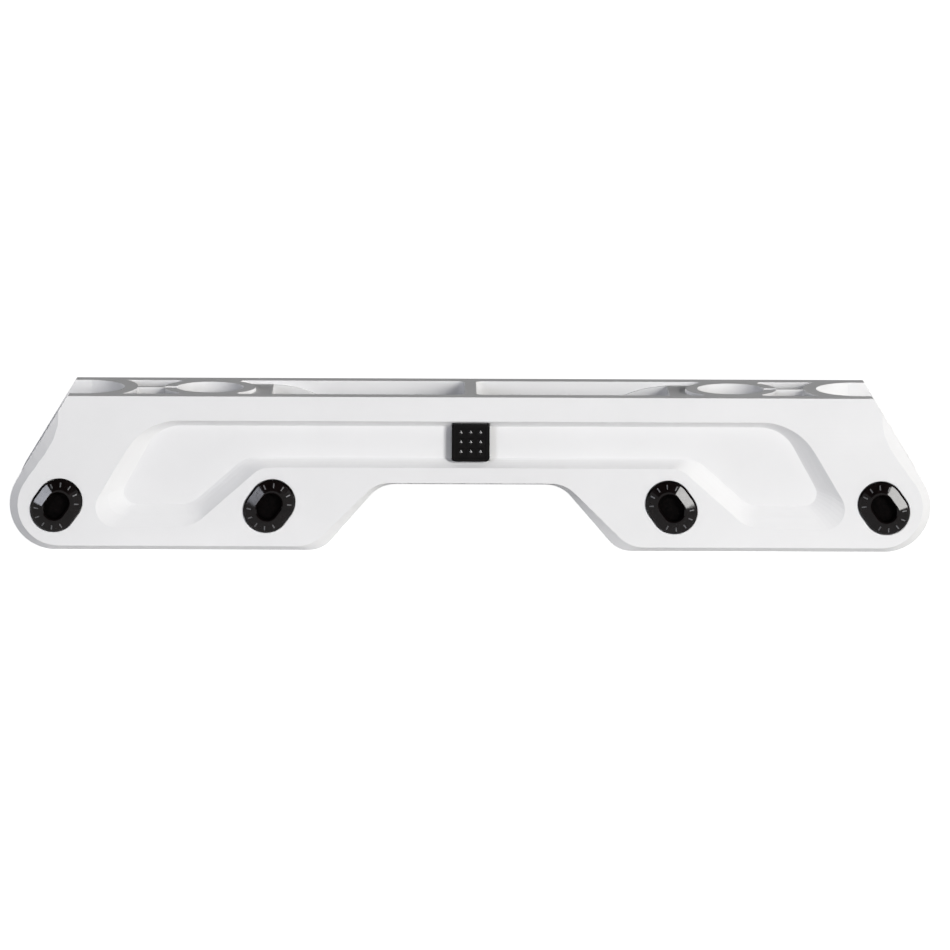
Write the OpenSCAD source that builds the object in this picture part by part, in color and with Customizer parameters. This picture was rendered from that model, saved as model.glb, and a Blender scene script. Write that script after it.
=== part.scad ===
// Moulded inline skate frame for grinding, with keyed axles, bushes and badges.
// +X runs along the frame, +Y across it and +Z up. The origin is the middle of the top plane,
// where the boot sits. The near side is -Y and the far side is +Y. Sizes are in millimetres.

/* [Body] */
// Overall length of the moulded body
overall_length = 289.2; // [282:0.2:296]
// Distance from the end of the body in to the end of the flat top plane
top_setback = 18.5; // [15:0.1:21]
// Height from the feet to the top plane
body_height = 48.6; // [46.8:0.1:50.4]
// Width across the top plane
top_width = 38; // [36:0.2:40]
// Width across the upright lower walls
foot_width = 44; // [42.6:0.2:46]
// Drop from the top plane to the crease where the leaning wall turns upright
crease_drop = 13; // [11:0.5:17]
// Radius of the crease
crease_radius = 50; // [20:5:70]
// Radius of the rounded ends
end_radius = 14.3; // [13:0.1:15.5]
// Width of the open channel between the top rails
channel_width = 27.3; // [26:0.1:28.6]
// Width of the wheel bays, between the linings of the walls
bay_width = 24.7; // [24.3:0.1:25.5]
// Radius of the linings' arches about the inner axles
arch_radius = 33; // [32:0.25:33.5]
// Radius of the linings about the outer axles
outer_lining_radius = 11; // [9:0.5:14]
// Radius kept clear for a wheel about each axle
wheel_clearance_radius = 30; // [28:0.25:31]

/* [Edge bevel] */
// How far the bevel goes into the wall's outer face
bevel_depth = 1.9; // [1.4:0.1:2.6]
// Width of the bevel at the top of the sloped ends
bevel_slope = 4.8; // [2:0.1:6]
// Width of the bevel where the sloped ends meet the rounded ends
bevel_end = 2.4; // [1:0.1:3.4]
// Width of the bevel along the feet
bevel_foot = 1.5; // [0.8:0.1:2.5]
// Width of the bevel at the mouth of the grind groove
bevel_groove = 3.6; // [1:0.1:4.4]
// Width of the bevel at the top of the groove's sides
bevel_groove_top = 1.3; // [0.5:0.1:2.5]
// Width of the bevel along the ceiling of the grind groove
bevel_ceiling = 0.6; // [0.3:0.1:1.5]

/* [Grind groove] */
// Height of the groove above the feet
groove_height = 21.2; // [17:0.1:22.5]
// Length of the groove's ceiling
groove_ceiling_length = 56.6; // [46:0.2:62]
// Length of the groove's mouth
groove_mouth_length = 93; // [84:0.2:100]
// Radius of the ceiling's corners
groove_ceiling_radius = 10.5; // [5:0.5:13]
// Radius of the mouth's corners at the edge
groove_mouth_radius = 9.5; // [4:0.5:12]
// Radius of the mouth's corners on the outer face
groove_face_radius = 11.5; // [6:0.5:14]
// Thickness of the plate that closes the channel above the groove
grind_plate_thickness = 3.5; // [2:0.5:5]
// How far the plate lies above the walls' edges
grind_plate_recess = 0.4; // [0.2:0.1:1]

/* [Side pocket] */
// Depth of the pocket's floor behind the upright wall
pocket_depth = 3.3; // [2:0.1:3.8]
// Drop from the top plane to the pocket's upper edge
pocket_top_drop = 7.4; // [6.4:0.1:8.4]
// Distance from the outer axle inwards to the upper corner
pocket_shoulder_inset = 27.5; // [25:0.1:31]
// Distance from the outer axle inwards to the lower tip
pocket_tip_inset = 7.2; // [6:0.1:10]
// Distance of the lower tip below the axles
pocket_tip_drop = 7.4; // [5:0.1:9]
// Distance from the inner axle outwards to the heel
pocket_heel_reach = 23.8; // [20:0.1:28]
// Distance of the heel below the axles
pocket_heel_drop = 6.4; // [4:0.1:8]
// Distance from the inner axle outwards to the corner of the waist
pocket_waist_reach = 2.6; // [0:0.1:6]
// Height of the waist's edge above the axles
pocket_waist_rise = 12.3; // [10.5:0.1:14]
// Width of the upper bevel
pocket_top_bevel = 1.9; // [1:0.1:2.2]
// Width of the end bevel at the upper corner
pocket_shoulder_bevel = 4.9; // [2:0.1:6]
// Width of the end bevel at the lower tip
pocket_end_bevel = 6; // [3:0.1:7]
// Width of the foot bevel at the lower tip
pocket_foot_bevel = 7.6; // [4:0.1:9]
// Width of the foot bevel at the heel
pocket_heel_bevel = 6.2; // [4:0.1:8]
// Width of the slanting bevel
pocket_slant_bevel = 5.3; // [3:0.1:7]
// Width of the bevel along the waist
pocket_waist_bevel = 2.7; // [1.5:0.1:4]

/* [Boot mounts] */
// Distance between the two boot bolts
mount_spacing = 165; // [160:0.5:170]
// Diameter of the round socket for the boot's stud
stud_socket_diameter = 21.3; // [19:0.1:22]
// Depth of the stud socket
stud_socket_depth = 3.8; // [2.5:0.1:4.2]
// Diameter of the ring round the socket
mount_ring_diameter = 28.9; // [27.5:0.1:31]
// Thickness of the socket's floor at the bolt
mount_floor = 3.5; // [2.5:0.1:4.5]
// Diameter of the bolt hole
bolt_hole_diameter = 6.5; // [6.2:0.1:7]
// Diameter of the seat for the bolt's head
bolt_seat_diameter = 13; // [11:0.5:15]
// Radius of the fillets between the ring and the rails
mount_fillet = 1.7; // [0.6:0.1:3]
// Depth of the cross walls below the top plane
bridge_depth = 14; // [11:0.5:17]
// Width of the drain notch through the ring
drain_width = 3; // [2:0.1:4]
// Depth of the drain notch
drain_depth = 2.4; // [1:0.1:3.4]
// Thickness of the rib between the ring and the end wall
spine_thickness = 1.9; // [1.5:0.1:2.4]
// Distance from the top plane's end in to the round end notch
end_notch_depth = 16.5; // [14:0.1:19]
// Thickness of the end wall behind the notch
end_wall_thickness = 4.2; // [3:0.1:5.5]
// Radius of the end wall's inboard face
end_wall_radius = 24.8; // [20:0.2:30]
// How far the arch over the inner wheel runs past its axle
arch_lip = 0.3; // [0.1:0.1:2]
// Drop from the top plane to the web between that arch and the ring
web_drop = 1.1; // [0.8:0.1:1.4]
// Thickness of the rib across the middle
middle_rib_thickness = 3.6; // [2.5:0.1:5]
// Radius of the fillets between the middle rib and the rails
middle_rib_fillet = 2.4; // [1:0.1:4]

/* [Axles] */
// Distance from the end of the body in to the outer axle
outer_axle_inset = 14.8; // [13.4:0.1:16.4]
// Distance between the inner axles
inner_axle_span = 126.2; // [123:0.2:130]
// Drop from the top plane to the axles
axle_drop = 34.25; // [33.25:0.05:35.25]
// Diameter of the axle sleeve
axle_diameter = 8; // [7.5:0.1:8.5]
// Radial clearance of a part that turns or slides in a hole
running_gap = 0.05; // [0.02:0.01:0.1]
// Width of the keyed head
head_width = 13.9; // [13.4:0.1:15.6]
// Length of the keyed head
head_length = 17.3; // [16.2:0.1:18.8]
// Angle of the head's long side above the horizontal
head_lean = 54; // [0:1:90]
// Depth of the head's seat in the wall
head_seat_depth = 1.95; // [1.05:0.1:2.55]
// How far the head stands out of the wall
head_rise = 2; // [1.4:0.1:3]
// Gap between the head and its seat
head_gap = 0.3; // [0.2:0.05:0.5]
// Width of the recess in the head
head_recess_width = 6.6; // [5:0.1:7.4]
// Length of the recess in the head
head_recess_length = 9; // [7.6:0.1:10]
// Depth of the recess in the head
head_recess_depth = 2.6; // [1:0.1:3.2]
// Width of the chamfer round the recess
head_recess_chamfer = 0.35; // [0.1:0.05:0.6]

/* [Axle screws] */
// Diameter of the screw's thread
screw_diameter = 6; // [5:0.1:6.3]
// Length of the screw under its head
screw_length = 16; // [12:0.5:19]
// Diameter of the screw's head
screw_head_diameter = 12.4; // [11:0.1:13]
// Height of the screw's head
screw_head_height = 3.6; // [3:0.1:5]
// Width across the flats of the screw's socket
screw_socket_width = 5; // [4:0.5:6]
// Depth of the screw's socket
screw_socket_depth = 2.4; // [1.5:0.1:2.8]
// Depth of the screw's seat in the wall
screw_seat_depth = 2.55; // [1.55:0.1:3.55]
// Diameter of the washer
washer_diameter = 13; // [12.6:0.1:14]
// Thickness of the washer
washer_thickness = 0.8; // [0.5:0.1:1.5]
// Gap between the washer and the wall of its seat
washer_gap = 0.5; // [0.3:0.05:1]

/* [Bushes] */
// Outside diameter of the bush
bush_diameter = 11; // [10:0.1:11.6]
// Diameter of the bush's flange
bush_flange_diameter = 14; // [12.6:0.1:15]
// Thickness of the bush's flange
bush_flange_thickness = 1.3; // [1:0.1:2]
// Gap for the wheel between two bushes
wheel_gap = 24.1; // [23.6:0.1:24.3]
// Radial gap of a bush or peg set in the wall
press_gap = 0.03; // [0.01:0.01:0.08]

/* [Badges] */
// Width of the badge
badge_width = 11.8; // [9:0.1:14]
// Height of the badge
badge_height = 12; // [9:0.1:13]
// Radius of the badge's corners
badge_radius = 1.3; // [0.6:0.1:3]
// Drop from the top plane to the middle of the badge
badge_drop = 14; // [13:0.1:16]
// How far the badge stands out of the pocket's floor
badge_rise = 2.7; // [1.4:0.1:3.2]
// Depth of the badge's seat in the pocket's floor
badge_seat_depth = 0.6; // [0.3:0.1:1]
// Gap round the badge in its seat
badge_gap = 0.08; // [0.05:0.01:0.2]
// Width of the badge's raised border
badge_border = 1; // [0.6:0.1:1.6]
// Width of the groove between the border and the studs
badge_groove = 0.7; // [0.4:0.1:1.2]
// Height of the border and the studs
badge_relief = 0.5; // [0.2:0.1:0.8]
// Diameter of the badge's peg
badge_peg_diameter = 3; // [2:0.1:4]
// Length of the badge's peg
badge_peg_length = 2.4; // [1:0.1:3]

/* [Hidden] */
$fn = 96;
AXLES = [1 : 4];

// Spare length that carries a cut past a face, or a joined piece into its neighbour
past = 1;
// Segments of each rounded corner, from the middle of the frame outwards, and of the crease
wall_steps = [10, 8, 24, 2];
pocket_steps = [8, 6, 8, 10];
crease_steps = 8;
// Pieces of each straight run of the wall's outline, over which its bevel widens
wall_pieces = 6;
// Corner radii of the pocket at its edge and at its floor, from the waist to the shoulder
pocket_edge_radii = [8, 10, 6.4, 17.5];
pocket_floor_radii = [10, 10, 4, 12];
// Bend of the pocket's sides, from the waist to the top: over 1 a side eases out of the floor,
// under 1 into the wall's face
pocket_bends = [1.4, 1.3, 0.75, 1.1, 1.3];
// Heights at which the pocket's sides bend, as shares of its depth
pocket_levels = [0, 0.1, 0.3, 0.6, 1];
// Radius that takes the sharpness off the top corners
top_corner_radius = 0.4;
// Gap left at the end of a bush and at the end of a sleeve
bush_end_gap = 0.1;
sleeve_end_gap = 0.6;
// Room past the screw's tip in the sleeve
screw_tip_gap = 1.5;
// The end notch is a little wider than the channel, so that the two meet at an edge
notch_spread = 0.25;
// Share of the head's rise that is upright, and the width of its outer edge and its inner rim
head_skirt_share = 0.3;
head_edge_width = 0.35;
head_rim_width = 0.5;
// Chamfers of the screw's head and of the bush's flange
screw_chamfer = 0.7;
bush_chamfer = 0.3;
// Studs along each side of the badge, and the gap between them
badge_stud_count = 3;
badge_stud_gap = 0.7;

top_half = top_width / 2;
foot_half = foot_width / 2;
channel_half = channel_width / 2;
bay_half = bay_width / 2;
wall_lean = (foot_half - top_half) / crease_drop;
axle_height = -axle_drop;
top_end = overall_length / 2 - top_setback;
outer_axle = overall_length / 2 - outer_axle_inset;
inner_axle = inner_axle_span / 2;
axle_x = [-outer_axle, -inner_axle, inner_axle, outer_axle];
mount_x = mount_spacing / 2;
groove_ceiling = groove_height - body_height;
pocket_floor = foot_half - pocket_depth;
head_seat = foot_half - head_seat_depth;
screw_seat = foot_half - screw_seat_depth;
screw_shoulder = screw_seat + washer_thickness;
bush_seat = wheel_gap / 2 + bush_flange_thickness;
sleeve_end = screw_seat - sleeve_end_gap;
socket_floor = -stud_socket_depth;
bolt_seat = socket_floor - mount_floor;
badge_seat = pocket_floor - badge_seat_depth;
badge_thickness = badge_seat_depth + badge_rise;

// Plane geometry

function unit(v) = v / norm(v);
function left_of(u) = [-u.y, u.x];
function turned(p, angle) = [p.x * cos(angle) - p.y * sin(angle), p.x * sin(angle) + p.y * cos(angle)];
function turn_between(u, v) = atan2(u.x * v.y - u.y * v.x, u * v);

// Point where the line through p along u meets the line through q along v
function crossing(p, u, q, v) = p + u * (((q - p) * left_of(v)) / (u * left_of(v)));

// Arc of the given radius that rounds the corner b between a and c
function corner_arc(a, b, c, radius, steps) =
    let (u = unit(b - a))
    let (v = unit(c - b))
    let (turn = turn_between(u, v))
    let (start = b - u * radius * tan(abs(turn) / 2))
    let (centre = start + left_of(u) * radius * sign(turn))
    [for (i = [0 : steps]) centre + turned(start - centre, turn * i / steps)];

// Outline with each of its corners rounded and each of its straight runs cut into pieces
function rounded(corners, radii, steps, pieces) =
    let (count = len(corners))
    let (arcs = [for (i = [0 : count - 1])
        let (before = corners[(i + count - 1) % count])
        let (after = corners[(i + 1) % count])
        corner_arc(before, corners[i], after, radii[i], steps[i])])
    [for (i = [0 : count - 1])
        let (start = arcs[i][steps[i]])
        let (run = arcs[(i + 1) % count][0] - start)
        each concat(arcs[i], [for (k = [1 : 1 : pieces - 1]) start + run * k / pieces])];

function started_at(list, first) = [for (i = [0 : len(list) - 1]) list[(i + first) % len(list)]];
function backwards(list) = [for (i = [len(list) - 1 : -1 : 0]) list[i]];
function doubled(list) = concat(list, backwards(list));
function mirrored(half) = concat(half, [for (p = backwards(half)) [-p.x, p.y]]);

// Solid through outlines of equal length in the XZ plane, each at its own distance along Y
module loft(outlines, distances) {
    count = len(outlines[0]);
    last = len(outlines) - 1;
    points = [for (k = [0 : last]) for (p = outlines[k]) [p.x, distances[k], p.y]];
    sides = [
        for (k = [0 : last - 1])
            for (i = [0 : count - 1])
                let (a = k * count + i)
                let (b = k * count + (i + 1) % count)
                each [[a, b, b + count], [a, b + count, a + count]]
    ];
    near_cap = [for (i = [count - 1 : -1 : 0]) i];
    far_cap = [for (i = [0 : count - 1]) last * count + i];
    polyhedron(points, concat([near_cap], sides, [far_cap]), convexity = 10);
}

// Flat shape in the XZ plane, carried along Y through the middle plane
module across(width) {
    rotate([90, 0, 0]) linear_extrude(width, center = true) children();
}

// Slot shape with round ends
module stadium(width, length) {
    reach = (length - width) / 2;
    square([2 * reach, width], center = true);
    for (side = [-1, 1])
        translate([side * reach, 0]) circle(width / 2);
}

// Slot shape whose width and length shrink alike by twice the inset over its height
module stadium_taper(width, length, inset, height) {
    reach = (length - width) / 2;
    wide = width / 2;
    narrow = wide - inset;
    for (side = [-1, 1])
        translate([side * reach, 0, 0]) cylinder(h = height, r1 = wide, r2 = narrow);
    rotate([90, 0, 90])
        linear_extrude(2 * reach, center = true)
            polygon([[-wide, 0], [wide, 0], [narrow, height], [-narrow, height]]);
}

module ring(inner, outer, height) {
    difference() {
        cylinder(h = height, r = outer);
        translate([0, 0, -past]) cylinder(h = height + 2 * past, r = inner);
    }
}

module rounded_rectangle(width, height, radius) {
    square([width - 2 * radius, height], center = true);
    square([width, height - 2 * radius], center = true);
    for (side = [-1, 1], level = [-1, 1])
        translate([side * (width / 2 - radius), level * (height / 2 - radius)]) circle(radius);
}

// Places a piece on an axle, with its own Z towards the near side
module on_axle(n) {
    translate([axle_x[n - 1], 0, axle_height]) rotate([90, 0, 0]) children();
}

// Turns the far side of an axle to face along its own Z
module from_far_side() {
    rotate([180, 0, 0]) children();
}

module on_both_sides() {
    children();
    mirror([0, 1, 0]) children();
}

module on_both_ends() {
    children();
    mirror([1, 0, 0]) children();
}

// Outline of the walls

end_centre = [overall_length / 2 - end_radius, end_radius - body_height];
top_corner = [top_end, 0];
to_end = end_centre - top_corner;
end_slope = atan2(to_end.y, to_end.x) + asin(end_radius / norm(to_end));
end_line = [cos(end_slope), sin(end_slope)];
end_out = left_of(end_line);
foot_line = [1, 0];
foot_point = [0, -body_height];
groove_corner = [groove_ceiling_length / 2, groove_ceiling];
groove_mouth = [groove_mouth_length / 2, -body_height];
groove_line = unit(groove_mouth - groove_corner);

edge_corners = [
    groove_corner,
    groove_mouth,
    crossing(top_corner, end_line, foot_point, foot_line),
    top_corner
];
edge_radii = [groove_ceiling_radius, groove_mouth_radius, end_radius, top_corner_radius];

// The outer face's outline lies inside the edge's by the width of the bevel
face_foot_point = foot_point + [0, bevel_foot];
face_ceiling_point = groove_corner + [0, bevel_ceiling];
face_groove_start = groove_corner + left_of(groove_line) * bevel_groove_top;
face_groove_end = groove_mouth + left_of(groove_line) * bevel_groove;
face_groove_line = unit(face_groove_end - face_groove_start);
face_slope_start = top_corner - end_out * bevel_slope;
face_slope_end = end_centre + end_out * (end_radius - bevel_end);
face_slope_line = unit(face_slope_end - face_slope_start);

face_corners = [
    crossing(face_ceiling_point, foot_line, face_groove_start, face_groove_line),
    crossing(face_groove_start, face_groove_line, face_foot_point, foot_line),
    crossing(face_slope_start, face_slope_line, face_foot_point, foot_line),
    crossing(face_slope_start, face_slope_line, top_corner, foot_line)
];
face_radii = [
    groove_ceiling_radius,
    groove_face_radius,
    end_radius - bevel_foot,
    top_corner_radius
];

// Both outlines start in the middle of a rounded end, off the lines of the straight runs
outline_start = wall_steps[0] + wall_steps[1] + 2 * wall_pieces + wall_steps[2] / 2;
function wall_outline(corners, radii) =
    started_at(rounded(mirrored(corners), doubled(radii), doubled(wall_steps), wall_pieces), outline_start);
edge_outline = wall_outline(edge_corners, edge_radii);
face_outline = wall_outline(face_corners, face_radii);

// Far wall, solid: the outline with its bevelled edge, within the leaning section
module plain_wall() {
    edge_plane = foot_half - bevel_depth;
    reach = (bevel_depth + past) / bevel_depth;
    past_outline = edge_outline + (face_outline - edge_outline) * reach;
    crease = corner_arc(
        [top_half, 0],
        [foot_half, -crease_drop],
        [foot_half, -body_height],
        crease_radius,
        crease_steps
    );
    intersection() {
        loft([edge_outline, edge_outline, past_outline], [bay_half - past, edge_plane, foot_half + past]);
        rotate([90, 0, 90])
            linear_extrude(overall_length + 2 * past, center = true)
                polygon(concat(
                    [[bay_half, past], [top_half - wall_lean * past, past]],
                    crease,
                    [[foot_half, -body_height - past], [bay_half, -body_height - past]]
                ));
    }
}

// Outline of the side pocket at a distance out from its floor

pocket_corners = [
    [inner_axle + pocket_waist_reach, axle_height + pocket_waist_rise],
    [inner_axle + pocket_heel_reach, axle_height - pocket_heel_drop],
    [outer_axle - pocket_tip_inset, axle_height - pocket_tip_drop],
    [outer_axle - pocket_shoulder_inset, -pocket_top_drop]
];
// Depth of the floor behind the leaning wall at the pocket's upper edge
pocket_top_depth = top_half + wall_lean * pocket_top_drop - pocket_floor;
// The waist and the top start and end in the middle of the frame
pocket_path = concat([[0, pocket_corners[0].y]], pocket_corners, [[0, pocket_corners[3].y]]);
// Bevel widths at both ends of each side, and the sides' depths, from the waist round to the top
pocket_bevels = [
    [pocket_waist_bevel, pocket_waist_bevel],
    [pocket_slant_bevel, pocket_slant_bevel],
    [pocket_heel_bevel, pocket_foot_bevel],
    [pocket_end_bevel, pocket_shoulder_bevel],
    [pocket_top_bevel, pocket_top_bevel]
];
pocket_depths = [pocket_depth, pocket_depth, pocket_depth, pocket_depth, pocket_top_depth];

// Share of a side's width that is reached at a share of its depth
function eased(share, bend) =
    bend > 1 ? pow(share, 1 / bend) :
    share > 1 ? share :
    1 - pow(1 - share, bend);
// Both ends of a side
function pocket_side(i, out) =
    let (inwards = left_of(unit(pocket_path[i + 1] - pocket_path[i])))
    let (inset = 1 - eased(out / pocket_depths[i], pocket_bends[i]))
    [for (end = [0, 1]) pocket_path[i + end] + inwards * pocket_bevels[i][end] * inset];
function pocket_outline(out) =
    let (sides = [for (i = [0 : len(pocket_corners)]) pocket_side(i, out)])
    let (half = [for (i = [0 : len(pocket_corners) - 1])
        crossing(sides[i][0], sides[i][1] - sides[i][0], sides[i + 1][0], sides[i + 1][1] - sides[i + 1][0])])
    let (radii = pocket_floor_radii + (pocket_edge_radii - pocket_floor_radii) * out / pocket_depth)
    rounded(mirrored(half), doubled(radii), doubled(pocket_steps), 1);

// Room of the far wall's pocket, cut off level at its floor
module side_pocket() {
    brim = pocket_depth + past;
    rises = concat([for (share = pocket_levels) share * pocket_depth], [brim]);
    outlines = [for (rise = rises) pocket_outline(rise)];
    distances = [for (rise = rises) pocket_floor + rise];
    intersection() {
        loft(concat([outlines[0]], outlines), concat([pocket_floor - past], distances));
        translate([-overall_length / 2, pocket_floor, -body_height])
            cube([overall_length, brim + past, body_height]);
    }
}

module badge_seat_cut() {
    translate([-badge_width / 2 - badge_gap, badge_seat, -badge_drop - badge_height / 2 - badge_gap])
        cube([badge_width + 2 * badge_gap, badge_thickness + past, badge_height + 2 * badge_gap]);
    translate([0, badge_seat + past, -badge_drop]) rotate([90, 0, 0])
        cylinder(h = badge_peg_length + past + bush_end_gap, d = badge_peg_diameter + 2 * press_gap);
}

module side_walls() {
    difference() {
        on_both_sides() difference() {
            plain_wall();
            side_pocket();
            badge_seat_cut();
        }
        channel_relief();
    }
}

// Widens the channel above the linings' arches
module channel_relief() {
    across(2 * channel_half) difference() {
        translate([-overall_length, axle_height]) square([2 * overall_length, axle_drop + past]);
        for (x = axle_x)
            translate([x, axle_height]) circle(abs(x) < outer_axle ? arch_radius : outer_lining_radius);
    }
}

// Fillets between a mount ring and the rails, seen from above
module ring_fillets(ring_radius) {
    centre_y = channel_half - mount_fillet;
    centre_x = sqrt(pow(ring_radius + mount_fillet, 2) - pow(centre_y, 2));
    touch_y = centre_y * ring_radius / (ring_radius + mount_fillet);
    for (side = [0, 1], end = [0, 1])
        mirror([0, side]) mirror([end, 0]) difference() {
            translate([0, touch_y]) square([centre_x, channel_half + past - touch_y]);
            translate([centre_x, centre_y]) circle(mount_fillet);
        }
}

// Cross walls of one end: end wall, spine, mount ring and the web over the inner wheel
module end_bridge() {
    notch_radius = channel_half + notch_spread;
    notch_apex = top_end - end_notch_depth;
    wall_apex = notch_apex - end_wall_thickness;
    ring_radius = mount_ring_diameter / 2;
    socket_radius = stud_socket_diameter / 2;
    seam_half = channel_half + past;
    difference() {
        intersection() {
            translate([inner_axle - arch_lip, -seam_half, -bridge_depth])
                cube([notch_apex + notch_radius - past - inner_axle, 2 * seam_half, bridge_depth]);
            union() {
                difference() {
                    translate([wall_apex + end_wall_radius, 0, -bridge_depth])
                        cylinder(h = bridge_depth, r = end_wall_radius);
                    translate([notch_apex + notch_radius, 0, -bridge_depth - past])
                        cylinder(h = bridge_depth + 2 * past, r = notch_radius);
                }
                translate([mount_x, -spine_thickness / 2, -bridge_depth])
                    cube([wall_apex + past - mount_x, spine_thickness, bridge_depth]);
                translate([mount_x, 0, -bridge_depth]) {
                    cylinder(h = bridge_depth, r = ring_radius);
                    linear_extrude(bridge_depth) ring_fillets(ring_radius);
                }
                translate([0, -seam_half, -bridge_depth])
                    cube([mount_x, 2 * seam_half, bridge_depth - web_drop]);
            }
        }
        for (x = [inner_axle, outer_axle])
            across(2 * (seam_half + past))
                translate([x, axle_height]) circle(wheel_clearance_radius);
        translate([mount_x, 0, socket_floor])
            cylinder(h = stud_socket_depth + past, r = socket_radius);
        translate([mount_x, 0, bolt_seat - past])
            cylinder(h = mount_floor + 2 * past, d = bolt_hole_diameter);
        translate([mount_x, 0, -bridge_depth - past])
            cylinder(h = bridge_depth + past + bolt_seat, d = bolt_seat_diameter);
        translate([mount_x, -drain_width / 2, -drain_depth])
            cube([ring_radius, drain_width, drain_depth + past]);
    }
}

// Rib across the middle, with fillets to the rails, and the plate above the groove
module middle_bridge() {
    seam_half = channel_half + past;
    plate_bottom = groove_ceiling + grind_plate_recess;
    plate_half = groove_ceiling_length / 2 - grind_plate_thickness / 2;
    rib_half = middle_rib_thickness / 2;
    translate([0, 0, plate_bottom]) linear_extrude(-plate_bottom) {
        square([middle_rib_thickness, 2 * seam_half], center = true);
        for (side = [0, 1], end = [0, 1])
            mirror([0, side]) mirror([end, 0])
                translate([rib_half, channel_half]) difference() {
                    translate([-rib_half, -middle_rib_fillet])
                        square([rib_half + middle_rib_fillet, middle_rib_fillet + past]);
                    translate([middle_rib_fillet, -middle_rib_fillet]) circle(middle_rib_fillet);
                }
    }
    translate([-plate_half, -seam_half, plate_bottom])
        cube([2 * plate_half, 2 * seam_half, grind_plate_thickness]);
}

// Hole through both walls at an axle, with the seats of the bushes, the head and the screw
module axle_cuts(n) {
    on_axle(n) {
        for (side = [0, 1])
            mirror([0, 0, side]) {
                cylinder(h = foot_half, d = bush_diameter + 2 * press_gap);
                cylinder(h = bush_seat, d = bush_flange_diameter + 2 * press_gap);
            }
        translate([0, 0, head_seat])
            rotate(head_angle(n))
                linear_extrude(head_seat_depth + past)
                    stadium(head_width + 2 * head_gap, head_length + 2 * head_gap);
        from_far_side()
            translate([0, 0, screw_seat])
                cylinder(h = screw_seat_depth + past, d = washer_diameter + 2 * washer_gap);
    }
}

// The heads lean towards the middle of the frame
function head_angle(n) = axle_x[n - 1] < 0 ? head_lean : 180 - head_lean;

module frame_body() {
    color("white") difference() {
        union() {
            side_walls();
            on_both_ends() end_bridge();
            middle_bridge();
        }
        for (n = AXLES)
            axle_cuts(n);
    }
}

// Axle sleeve: barrel with a keyed head on the near side and a bore for the screw
module axle_sleeve(n) {
    skirt = head_seat_depth + head_rise * head_skirt_share;
    crown_width = head_width - 2 * head_edge_width;
    crown_length = head_length - 2 * head_edge_width;
    crown_inset = (crown_width - head_recess_width) / 2 - head_rim_width;
    crown_rise = head_rise * (1 - head_skirt_share) - head_edge_width;
    bore_depth = sleeve_end - screw_shoulder + screw_length + screw_tip_gap;
    rim = head_recess_chamfer + past;
    color("black") on_axle(n) difference() {
        union() {
            translate([0, 0, -sleeve_end])
                cylinder(h = sleeve_end + head_seat + past, d = axle_diameter);
            translate([0, 0, head_seat]) rotate(head_angle(n)) {
                linear_extrude(skirt) stadium(head_width, head_length);
                translate([0, 0, skirt]) {
                    stadium_taper(head_width, head_length, head_edge_width, head_edge_width);
                    translate([0, 0, head_edge_width])
                        stadium_taper(crown_width, crown_length, crown_inset, crown_rise);
                }
            }
        }
        translate([0, 0, foot_half + head_rise - head_recess_depth])
            rotate(head_angle(n))
                linear_extrude(head_recess_depth + past)
                    stadium(head_recess_width, head_recess_length);
        translate([0, 0, foot_half + head_rise + past])
            rotate(head_angle(n)) mirror([0, 0, 1])
                stadium_taper(head_recess_width + 2 * rim, head_recess_length + 2 * rim, rim, rim);
        translate([0, 0, -sleeve_end - past])
            cylinder(h = bore_depth + past, d = screw_diameter + 2 * running_gap);
    }
}

// Screw that holds the sleeve from the far side
module axle_screw(n) {
    face_diameter = screw_head_diameter - 2 * screw_chamfer;
    color("dimgray") on_axle(n) from_far_side() translate([0, 0, screw_shoulder]) difference() {
        union() {
            translate([0, 0, -screw_length])
                cylinder(h = screw_length + past, d = screw_diameter);
            cylinder(h = screw_head_height - screw_chamfer, d = screw_head_diameter);
            translate([0, 0, screw_head_height - screw_chamfer])
                cylinder(h = screw_chamfer, d1 = screw_head_diameter, d2 = face_diameter);
        }
        translate([0, 0, screw_head_height - screw_socket_depth])
            cylinder(h = screw_socket_depth + past, d = screw_socket_width / cos(30), $fn = 6);
    }
}

// Washer under the screw's head
module axle_washer(n) {
    color("silver") on_axle(n) from_far_side() translate([0, 0, screw_seat])
        ring(screw_diameter / 2 + washer_gap, washer_diameter / 2, washer_thickness);
}

// Flanged bush in a wall, from its wheel face to just short of the outer seat
module axle_bush(outer_seat) {
    length = outer_seat - bush_end_gap - bush_seat;
    flange_radius = bush_flange_diameter / 2;
    color("gray") difference() {
        union() {
            translate([0, 0, wheel_gap / 2])
                cylinder(h = bush_chamfer, r1 = flange_radius - bush_chamfer, r2 = flange_radius);
            translate([0, 0, wheel_gap / 2 + bush_chamfer])
                cylinder(h = bush_flange_thickness - bush_chamfer, r = flange_radius);
            translate([0, 0, bush_seat])
                cylinder(h = length, d = bush_diameter);
        }
        cylinder(h = foot_half, d = axle_diameter + 2 * running_gap);
    }
}

module bush_near(n) {
    on_axle(n) axle_bush(head_seat);
}

module bush_far(n) {
    on_axle(n) from_far_side() axle_bush(screw_seat);
}

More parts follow.
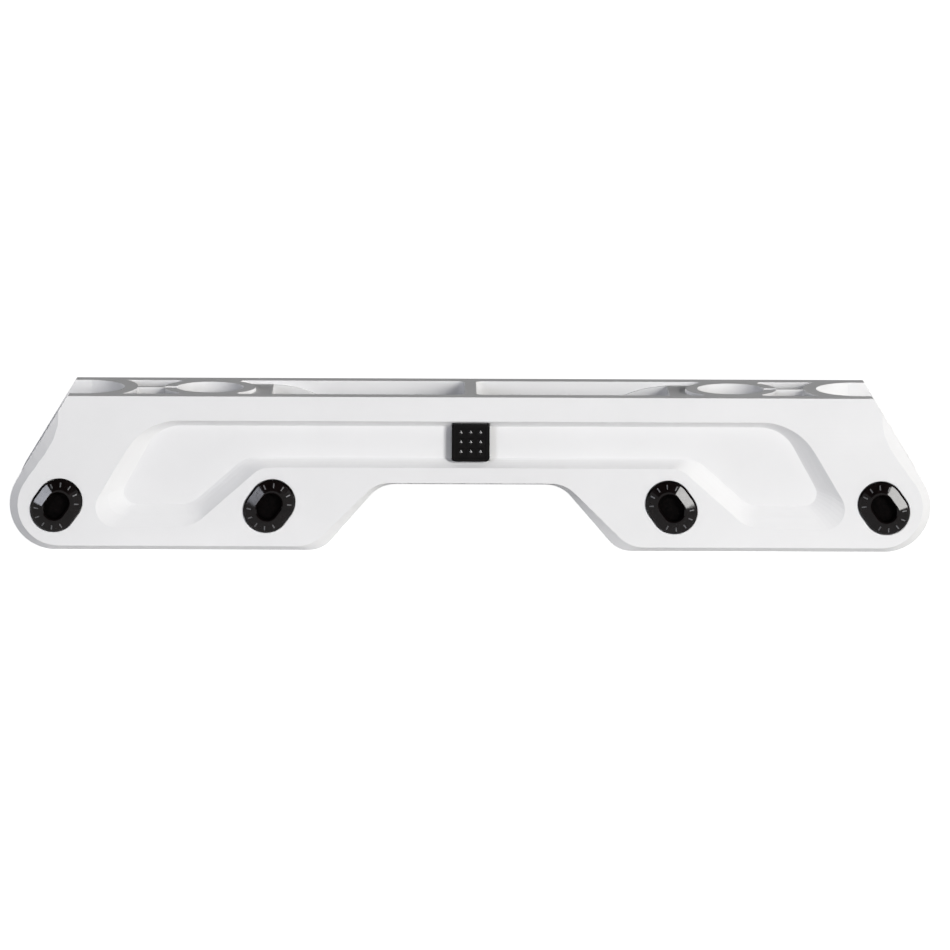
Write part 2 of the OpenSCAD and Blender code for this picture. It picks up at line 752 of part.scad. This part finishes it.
// Badge with a raised border, a field of square studs and a peg into the wall, facing the far side
module badge() {
    field_width = badge_width - 2 * (badge_border + badge_groove);
    field_height = badge_height - 2 * (badge_border + badge_groove);
    stud_width = (field_width - (badge_stud_count - 1) * badge_stud_gap) / badge_stud_count;
    stud_height = (field_height - (badge_stud_count - 1) * badge_stud_gap) / badge_stud_count;
    pitch = [stud_width + badge_stud_gap, stud_height + badge_stud_gap];
    middle = (badge_stud_count - 1) / 2;
    color("black") translate([0, badge_seat, -badge_drop]) rotate([-90, 0, 0]) {
        linear_extrude(badge_thickness - badge_relief)
            rounded_rectangle(badge_width, badge_height, badge_radius);
        translate([0, 0, badge_thickness - badge_relief - past]) linear_extrude(badge_relief + past) {
            difference() {
                rounded_rectangle(badge_width, badge_height, badge_radius);
                square([badge_width - 2 * badge_border, badge_height - 2 * badge_border], center = true);
            }
            for (i = [0 : badge_stud_count - 1], j = [0 : badge_stud_count - 1])
                translate([(i - middle) * pitch.x, (j - middle) * pitch.y])
                    square([stud_width, stud_height], center = true);
        }
        translate([0, 0, -badge_peg_length])
            cylinder(h = badge_peg_length + past, d = badge_peg_diameter);
    }
}

module badge_far() {
    badge();
}

module badge_near() {
    mirror([0, 1, 0]) badge();
}

frame_body();
for (n = AXLES) {
    axle_sleeve(n);
    axle_screw(n);
    axle_washer(n);
    bush_near(n);
    bush_far(n);
}
badge_near();
badge_far();
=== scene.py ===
"""Studio scene of the skate frame: finishes, relief on axle heads and badges, floor, light and camera."""

import math

import bpy
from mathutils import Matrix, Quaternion, Vector


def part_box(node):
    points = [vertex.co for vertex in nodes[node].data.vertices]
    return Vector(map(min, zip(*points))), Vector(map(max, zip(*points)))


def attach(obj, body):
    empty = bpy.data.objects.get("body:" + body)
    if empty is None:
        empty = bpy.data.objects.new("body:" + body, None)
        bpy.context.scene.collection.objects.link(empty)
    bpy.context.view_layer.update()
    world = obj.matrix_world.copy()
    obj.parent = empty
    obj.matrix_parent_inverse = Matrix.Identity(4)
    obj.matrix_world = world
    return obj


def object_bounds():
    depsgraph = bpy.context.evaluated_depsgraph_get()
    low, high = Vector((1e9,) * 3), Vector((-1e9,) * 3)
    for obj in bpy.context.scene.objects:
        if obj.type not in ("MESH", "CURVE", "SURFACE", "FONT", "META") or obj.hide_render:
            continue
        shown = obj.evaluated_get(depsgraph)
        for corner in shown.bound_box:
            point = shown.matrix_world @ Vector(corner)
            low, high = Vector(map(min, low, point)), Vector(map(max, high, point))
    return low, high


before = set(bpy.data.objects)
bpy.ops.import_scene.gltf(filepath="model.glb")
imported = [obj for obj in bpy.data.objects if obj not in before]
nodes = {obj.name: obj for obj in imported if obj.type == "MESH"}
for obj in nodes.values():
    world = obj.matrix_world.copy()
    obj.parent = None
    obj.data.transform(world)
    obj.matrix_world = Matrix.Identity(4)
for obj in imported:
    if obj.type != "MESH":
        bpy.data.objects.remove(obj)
cad_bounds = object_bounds()

# Photograph's camera. The image and the focal length are in pixels, the sensor in millimetres, the rest in
# metres and degrees.
IMAGE_SIZE = 950
FOCAL_LENGTH_PIXELS = 4717
SENSOR_WIDTH = 36
CAMERA_TARGET = Vector((0.00154, 0.0, -0.02803))
CAMERA_AZIMUTH = -0.39
CAMERA_ELEVATION = 10.09
CAMERA_DISTANCE = 1.5
CAMERA_ROLL = 0.274
CLIP_NEAR = 0.05
CLIP_FAR = 100


def direction(azimuth, elevation):
    """Unit vector from the object to a viewer or lamp: azimuth 0 is the near side, 90 the right-hand end."""
    a = math.radians(azimuth)
    e = math.radians(elevation)
    return Vector((math.sin(a) * math.cos(e), -math.cos(a) * math.cos(e), math.sin(e)))


def aim(thing, towards, roll=0.0):
    """Turns a camera or a lamp to look along a direction, rolled about it by degrees."""
    thing.rotation_mode = "QUATERNION"
    thing.rotation_quaternion = towards.to_track_quat("-Z", "Y") @ Quaternion((0, 0, 1), math.radians(roll))


def add_camera():
    data = bpy.data.cameras.new("photo_camera")
    data.sensor_width = SENSOR_WIDTH
    data.lens = FOCAL_LENGTH_PIXELS / IMAGE_SIZE * SENSOR_WIDTH
    data.clip_start = CLIP_NEAR
    data.clip_end = CLIP_FAR
    data.dof.use_dof = False
    camera = bpy.data.objects.new("photo_camera", data)
    bpy.context.scene.collection.objects.link(camera)
    back = direction(CAMERA_AZIMUTH, CAMERA_ELEVATION)
    camera.location = CAMERA_TARGET + back * CAMERA_DISTANCE
    aim(camera, -back, CAMERA_ROLL)
    bpy.context.scene.camera = camera


def add_mesh(name, points, faces, material):
    mesh = bpy.data.meshes.new(name)
    mesh.from_pydata(points, [], faces)
    mesh.materials.append(material)
    piece = bpy.data.objects.new(name, mesh)
    bpy.context.scene.collection.objects.link(piece)
    return piece


# Finishes

# Values between which most of a noise texture lies
NOISE_LOW = 0.3
NOISE_HIGH = 0.7


class Finish:
    """A procedural material around one Principled shader. Lengths of its patterns are in metres."""

    def __init__(self, name):
        self.material = bpy.data.materials.new(name)
        self.material.use_nodes = True
        self.tree = self.material.node_tree
        self.shader = self.tree.nodes["Principled BSDF"]
        self.place = self.add("ShaderNodeTexCoord").outputs["Object"]

    def add(self, kind):
        return self.tree.nodes.new(kind)

    def link(self, source, target):
        self.tree.links.new(source, target)

    def set(self, name, value):
        self.shader.inputs[name].default_value = value

    def noise(self, size, detail, stretch=(1.0, 1.0, 1.0)):
        """Noise whose blotches are about the given size, stretched along the axes."""
        mapping = self.add("ShaderNodeMapping")
        mapping.inputs["Scale"].default_value = [1.0 / (size * s) for s in stretch]
        self.link(self.place, mapping.inputs["Vector"])
        texture = self.add("ShaderNodeTexNoise")
        texture.inputs["Scale"].default_value = 1.0
        texture.inputs["Detail"].default_value = detail
        self.link(mapping.outputs["Vector"], texture.inputs["Vector"])
        return texture.outputs["Fac"]

    def colours(self, source, dark, light):
        """The shader's colour runs from dark to light along the noise."""
        ramp = self.add("ShaderNodeValToRGB")
        first, last = ramp.color_ramp.elements
        first.position = NOISE_LOW
        first.color = (*dark, 1.0)
        last.position = NOISE_HIGH
        last.color = (*light, 1.0)
        self.link(source, ramp.inputs["Fac"])
        self.link(ramp.outputs["Color"], self.shader.inputs["Base Color"])

    def roughness(self, source, least, most):
        spread = self.add("ShaderNodeMapRange")
        spread.inputs["From Min"].default_value = NOISE_LOW
        spread.inputs["From Max"].default_value = NOISE_HIGH
        spread.inputs["To Min"].default_value = least
        spread.inputs["To Max"].default_value = most
        self.link(source, spread.inputs["Value"])
        self.link(spread.outputs["Result"], self.shader.inputs["Roughness"])

    def bump(self, source, height):
        bump = self.add("ShaderNodeBump")
        bump.inputs["Distance"].default_value = height
        bump.inputs["Strength"].default_value = 1.0
        self.link(source, bump.inputs["Height"])
        self.link(bump.outputs["Normal"], self.shader.inputs["Normal"])


COLOUR_DETAIL = 3.0
SHEEN_DETAIL = 2.0


def coat(
    name, refraction, dark, light, patch, least, most, sheen_patch, grain, grain_height, grain_detail=2.0
):
    """Plastic or a painted surface, whose colour, roughness and grain each follow a noise of their own size.
    """
    finish = Finish(name)
    finish.set("IOR", refraction)
    finish.colours(finish.noise(patch, COLOUR_DETAIL), dark, light)
    finish.roughness(finish.noise(sheen_patch, SHEEN_DETAIL), least, most)
    finish.bump(finish.noise(grain, grain_detail), grain_height)
    return finish.material


def white_plastic():
    return coat(
        "white_moulded_plastic", refraction=1.42,
        dark=(0.84, 0.84, 0.84), light=(0.87, 0.87, 0.87), patch=0.03,
        least=0.72, most=0.82, sheen_patch=0.004,
        grain=0.0006, grain_height=0.000008, grain_detail=3.0,
    )


def black_gloss():
    return coat(
        "black_gloss_coat", refraction=1.25,
        dark=(0.003, 0.002, 0.002), light=(0.006, 0.004, 0.004), patch=0.002,
        least=0.07, most=0.11, sheen_patch=0.0015,
        grain=0.0005, grain_height=0.000002,
    )


def black_plastic():
    return coat(
        "black_moulded_plastic", refraction=1.18,
        dark=(0.002, 0.002, 0.002), light=(0.005, 0.004, 0.004), patch=0.002,
        least=0.1, most=0.18, sheen_patch=0.0012,
        grain=0.0004, grain_height=0.000003,
    )


# Dull black without sheen that lines the recesses of the axle heads: painted shade
def painted_shade_black():
    return coat(
        "painted_shade_black_lining", refraction=1.08,
        dark=(0.001, 0.001, 0.001), light=(0.004, 0.003, 0.003), patch=0.001,
        least=0.5, most=0.65, sheen_patch=0.0008,
        grain=0.0003, grain_height=0.000004,
    )


# Grey for the tick marks on the axle heads: a painted highlight, for the light that raised marks catch
def painted_highlight_grey():
    return coat(
        "painted_highlight_grey", refraction=1.4,
        dark=(0.09, 0.09, 0.095), light=(0.14, 0.14, 0.145), patch=0.0008,
        least=0.35, most=0.5, sheen_patch=0.0006,
        grain=0.0002, grain_height=0.000003,
    )


METAL_GRAIN = 0.0012
METAL_GRAIN_HEIGHT = 0.000004
METAL_DETAIL = 4.0


def metal(name, dark, light, least, most, stretch=(1.0, 1.0, 1.0)):
    """Bare metal, whose colour, roughness and grain follow one noise."""
    finish = Finish(name)
    finish.set("Metallic", 1.0)
    grain = finish.noise(METAL_GRAIN, METAL_DETAIL, stretch)
    finish.colours(grain, dark, light)
    finish.roughness(grain, least, most)
    finish.bump(grain, METAL_GRAIN_HEIGHT)
    return finish.material


def screw_steel():
    return metal("screw_steel", dark=(0.10, 0.10, 0.105), light=(0.17, 0.17, 0.175), least=0.28, most=0.4)


def washer_steel():
    return metal(
        "washer_steel", dark=(0.52, 0.52, 0.53), light=(0.66, 0.66, 0.67),
        least=0.25, most=0.38, stretch=(1.0, 1.0, 6.0),
    )


def bush_aluminium():
    return metal(
        "bush_aluminium", dark=(0.62, 0.62, 0.63), light=(0.74, 0.74, 0.75),
        least=0.26, most=0.38, stretch=(1.0, 4.0, 1.0),
    )


def dress(names, material):
    for name in names:
        node = nodes[name]
        node.data.materials.clear()
        node.data.materials.append(material)


AXLES = (1, 2, 3, 4)
gloss = black_gloss()
shade_lining_black = painted_shade_black()
tick_highlight = painted_highlight_grey()
dress(["frame_body"], white_plastic())
dress([f"axle_sleeve_{n}" for n in AXLES], gloss)
dress(["badge_near", "badge_far"], black_plastic())
dress([f"axle_screw_{n}" for n in AXLES], screw_steel())
dress([f"axle_washer_{n}" for n in AXLES], washer_steel())
dress([f"bush_{side}_{n}" for side in ("near", "far") for n in AXLES], bush_aluminium())

# Relief of the axle heads, in metres and degrees: tick marks on the crown in painted-highlight grey and a
# recess lining of painted shade

HEAD_LEAN = 54
HEAD_REACH = 0.0017
CROWN_INNER_RADIUS = 0.0038
CROWN_WIDTH = 0.0028
CROWN_FALL = 0.00105
TICK_TURNS = (-62, -31, 0, 31, 62)
TICK_RADII = (0.0047, 0.0061)
TICK_WIDTH = 0.0005
TICK_TOP_WIDTH = 0.00034
TICK_RISE = 0.00012
TICK_ROOT = 0.00015
# Faces of a box whose corners run over its bottom and top, its two ends and its two sides
TICK_FACES = ((0, 1, 3, 2), (4, 6, 7, 5), (0, 4, 5, 1), (2, 3, 7, 6), (0, 2, 6, 4), (1, 5, 7, 3))
RECESS_WIDTH = 0.0066
RECESS_REACH = 0.0012
RECESS_DEPTH = 0.0026
RECESS_LIP = 0.0004
SHADE_LINING_INSET = 0.00003
SHADE_LINING_STEPS = 20


def side_middle(low, high, y):
    """Middle of a box's side that looks along the axles, at y."""
    return Vector(((low[0] + high[0]) / 2, y, (low[2] + high[2]) / 2))


def head_middle(n):
    """Middle of an axle head's crown and the angle of its long side."""
    low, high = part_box(f"axle_sleeve_{n}")
    middle = side_middle(low, high, low[1])
    return middle, math.radians(HEAD_LEAN if middle.x < 0 else 180 - HEAD_LEAN)


def across_axle(angle):
    return Vector((math.cos(angle), 0.0, math.sin(angle)))


def inwards(depth):
    return Vector((0.0, depth, 0.0))


def add_to_head(n, name, points, faces, material):
    piece = add_mesh(f"{name}_{n}", points, faces, material)
    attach(piece, f"axle_sleeve_{n}")


def tick_points(centre, angle):
    """Corners of one tick: a bar along the radius, sunk into the crown, whose sides lean in to its top."""
    along = across_axle(angle)
    aside = across_axle(angle + math.pi / 2)
    points = []
    for rise, width in ((-TICK_ROOT, TICK_WIDTH), (TICK_RISE, TICK_TOP_WIDTH)):
        for radius in TICK_RADII:
            depth = (radius - CROWN_INNER_RADIUS) / CROWN_WIDTH * CROWN_FALL - rise
            for side in (-0.5, 0.5):
                points.append(centre + along * radius + aside * (side * width) + inwards(depth))
    return points


def add_ticks(n):
    middle, lean = head_middle(n)
    points = []
    faces = []
    for end in (lean, lean + math.pi):
        for turn in TICK_TURNS:
            first = len(points)
            points += tick_points(middle + across_axle(end) * HEAD_REACH, end + math.radians(turn))
            faces += [[first + i for i in face] for face in TICK_FACES]
    # The grey of the ticks is a painted highlight.
    add_to_head(n, "head_ticks", points, faces, tick_highlight)


def add_recess_painted_shade(n):
    """Cup that lines the recess: its wall runs from under the lip to the floor. Its dull black is painted
    shade, darker than the gloss head around it.
    """
    middle, lean = head_middle(n)
    radius = RECESS_WIDTH / 2 - SHADE_LINING_INSET
    outline = []
    for end in (lean, lean + math.pi):
        for step in range(SHADE_LINING_STEPS + 1):
            turn = end - math.pi / 2 + math.pi * step / SHADE_LINING_STEPS
            outline.append(middle + across_axle(end) * RECESS_REACH + across_axle(turn) * radius)
    count = len(outline)
    points = [p + inwards(RECESS_LIP) for p in outline]
    points += [p + inwards(RECESS_DEPTH - SHADE_LINING_INSET) for p in outline]
    faces = [list(range(count, 2 * count))]
    for i in range(count):
        j = (i + 1) % count
        faces.append([i, j, count + j, count + i])
    add_to_head(n, "recess_painted_shade", points, faces, shade_lining_black)


for axle_number in AXLES:
    add_ticks(axle_number)
    add_recess_painted_shade(axle_number)


# A low pointed diamond on each stud of the badges, in metres

STUD_STEPS = (-1, 0, 1)
STUD_PITCH = 0.00307
DIAMOND_HALF_WIDTH = 0.00065
DIAMOND_HALF_HEIGHT = 0.0011
DIAMOND_RISE = 0.0002
DIAMOND_ROOT = 0.00005


def add_diamonds(badge, outwards):
    """Diamonds on the outer face of a badge, which looks along -Y or +Y."""
    low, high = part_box(badge)
    middle = side_middle(low, high, low[1] if outwards < 0 else high[1])
    root = Vector((0.0, -outwards * DIAMOND_ROOT, 0.0))
    point = Vector((0.0, outwards * DIAMOND_RISE, 0.0))
    aside = Vector((DIAMOND_HALF_WIDTH, 0.0, 0.0))
    up = Vector((0.0, 0.0, DIAMOND_HALF_HEIGHT))
    points = []
    faces = []
    for i in STUD_STEPS:
        for j in STUD_STEPS:
            stud = middle + Vector((i * STUD_PITCH, 0.0, j * STUD_PITCH))
            first = len(points)
            points += [stud + root + corner for corner in (aside, up, -aside, -up)]
            points.append(stud + point)
            faces.append([first, first + 1, first + 2, first + 3])
            faces += [[first + 4, first + (k + 1) % 4, first + k] for k in range(4)]
    diamonds = add_mesh(f"{badge}_diamonds", points, faces, gloss)
    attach(diamonds, "frame")


add_diamonds("badge_near", -1)
add_diamonds("badge_far", 1)


# Floor and light

FLOOR_COLOUR = (0.6, 0.6, 0.6, 1.0)
# Radius and height of the rings of the floor, a wide dish whose rim closes the view behind the object from
# low angles, in metres
FLOOR_RINGS = ((6.0, 0.0), (6.6, 0.12), (7.0, 0.5), (7.1, 1.6))
FLOOR_SIDES = 64
# Light that the floor adds for the camera and in reflections, so that it shows as white with a faint shadow
FLOOR_GLOW = 0.92
WORLD_COLOUR = (1.0, 1.0, 1.0, 1.0)
WORLD_LEVEL = 0.04
LAMP_DISTANCE = 3.0
PLAIN_LIGHT = (1.0, 1.0, 1.0)
WARM_LIGHT = (1.01, 1.0, 0.985)
COOL_LIGHT = (0.95, 0.97, 1.07)


def seen_directly(tree):
    """1 for what the camera sees, itself or in a reflection, and 0 for light on its way to the object."""
    path = tree.nodes.new("ShaderNodeLightPath")
    total = path.outputs["Is Camera Ray"]
    for name in ("Is Glossy Ray", "Is Transmission Ray"):
        either = tree.nodes.new("ShaderNodeMath")
        either.operation = "MAXIMUM"
        tree.links.new(total, either.inputs[0])
        tree.links.new(path.outputs[name], either.inputs[1])
        total = either.outputs["Value"]
    return total


def floor_material():
    """Pale diffuse floor with a glow for the eye alone. Its underside lets the view through from below."""
    material = bpy.data.materials.new("floor")
    material.use_nodes = True
    tree = material.node_tree
    tree.nodes.clear()
    surface = tree.nodes.new("ShaderNodeBsdfDiffuse")
    surface.inputs["Color"].default_value = FLOOR_COLOUR
    glow = tree.nodes.new("ShaderNodeEmission")
    level = tree.nodes.new("ShaderNodeMath")
    level.operation = "MULTIPLY"
    level.inputs[1].default_value = FLOOR_GLOW
    both = tree.nodes.new("ShaderNodeAddShader")
    clear = tree.nodes.new("ShaderNodeBsdfTransparent")
    side = tree.nodes.new("ShaderNodeNewGeometry")
    either = tree.nodes.new("ShaderNodeMixShader")
    output = tree.nodes.new("ShaderNodeOutputMaterial")
    tree.links.new(seen_directly(tree), level.inputs[0])
    tree.links.new(level.outputs["Value"], glow.inputs["Strength"])
    tree.links.new(surface.outputs["BSDF"], both.inputs[0])
    tree.links.new(glow.outputs["Emission"], both.inputs[1])
    tree.links.new(side.outputs["Backfacing"], either.inputs["Fac"])
    tree.links.new(both.outputs["Shader"], either.inputs[1])
    tree.links.new(clear.outputs["BSDF"], either.inputs[2])
    tree.links.new(either.outputs["Shader"], output.inputs["Surface"])
    return material


def add_floor():
    level = cad_bounds[0].z
    turns = [2 * math.pi * i / FLOOR_SIDES for i in range(FLOOR_SIDES)]
    points = [(0.0, 0.0, level)]
    for radius, height in FLOOR_RINGS:
        points += [(radius * math.cos(t), radius * math.sin(t), level + height) for t in turns]
    faces = [(0, 1 + i, 1 + (i + 1) % FLOOR_SIDES) for i in range(FLOOR_SIDES)]
    for ring in range(len(FLOOR_RINGS) - 1):
        first = 1 + ring * FLOOR_SIDES
        for i in range(FLOOR_SIDES):
            j = (i + 1) % FLOOR_SIDES
            faces.append((first + i, first + FLOOR_SIDES + i, first + FLOOR_SIDES + j, first + j))
    floor = add_mesh("floor", points, faces, floor_material())
    floor.data.shade_smooth()


def add_world():
    world = bpy.data.worlds.new("studio")
    bpy.context.scene.world = world
    world.use_nodes = True
    background = world.node_tree.nodes["Background"]
    background.inputs["Color"].default_value = WORLD_COLOUR
    background.inputs["Strength"].default_value = WORLD_LEVEL


def add_softbox(name, azimuth, elevation, width, height, light, lean=0, colour=PLAIN_LIGHT):
    """Area lamp that faces the object. A lean tips its top towards smaller azimuths.

    Its light is what it gives a surface turned to it, and pi makes a white surface fully white.
    """
    data = bpy.data.lights.new(name, "AREA")
    data.shape = "RECTANGLE"
    data.size = width
    data.size_y = height
    data.energy = light * math.pi * LAMP_DISTANCE**2
    data.color = colour
    lamp = bpy.data.objects.new(name, data)
    bpy.context.scene.collection.objects.link(lamp)
    towards = direction(azimuth, elevation)
    lamp.location = CAMERA_TARGET + towards * LAMP_DISTANCE
    aim(lamp, -towards, lean)
    lamp.visible_camera = False


def add_lamps():
    """Two leaning strips in front, each mirrored in the heads on its side, and two lamps behind."""
    add_softbox(
        "softbox_right", azimuth=39.5, elevation=12.7, width=0.38, height=1.5,
        light=2.7, lean=36, colour=WARM_LIGHT,
    )
    add_softbox(
        "softbox_left", azimuth=-39, elevation=12.7, width=0.2, height=1.05,
        light=0.7, lean=-36, colour=COOL_LIGHT,
    )
    for side, azimuth in (("right", 142), ("left", -142)):
        add_softbox(f"softbox_back_{side}", azimuth, elevation=3, width=1.2, height=0.35, light=1.5)


add_camera()
add_floor()
add_world()
add_lamps()

bpy.context.scene.view_settings.view_transform = "Standard"
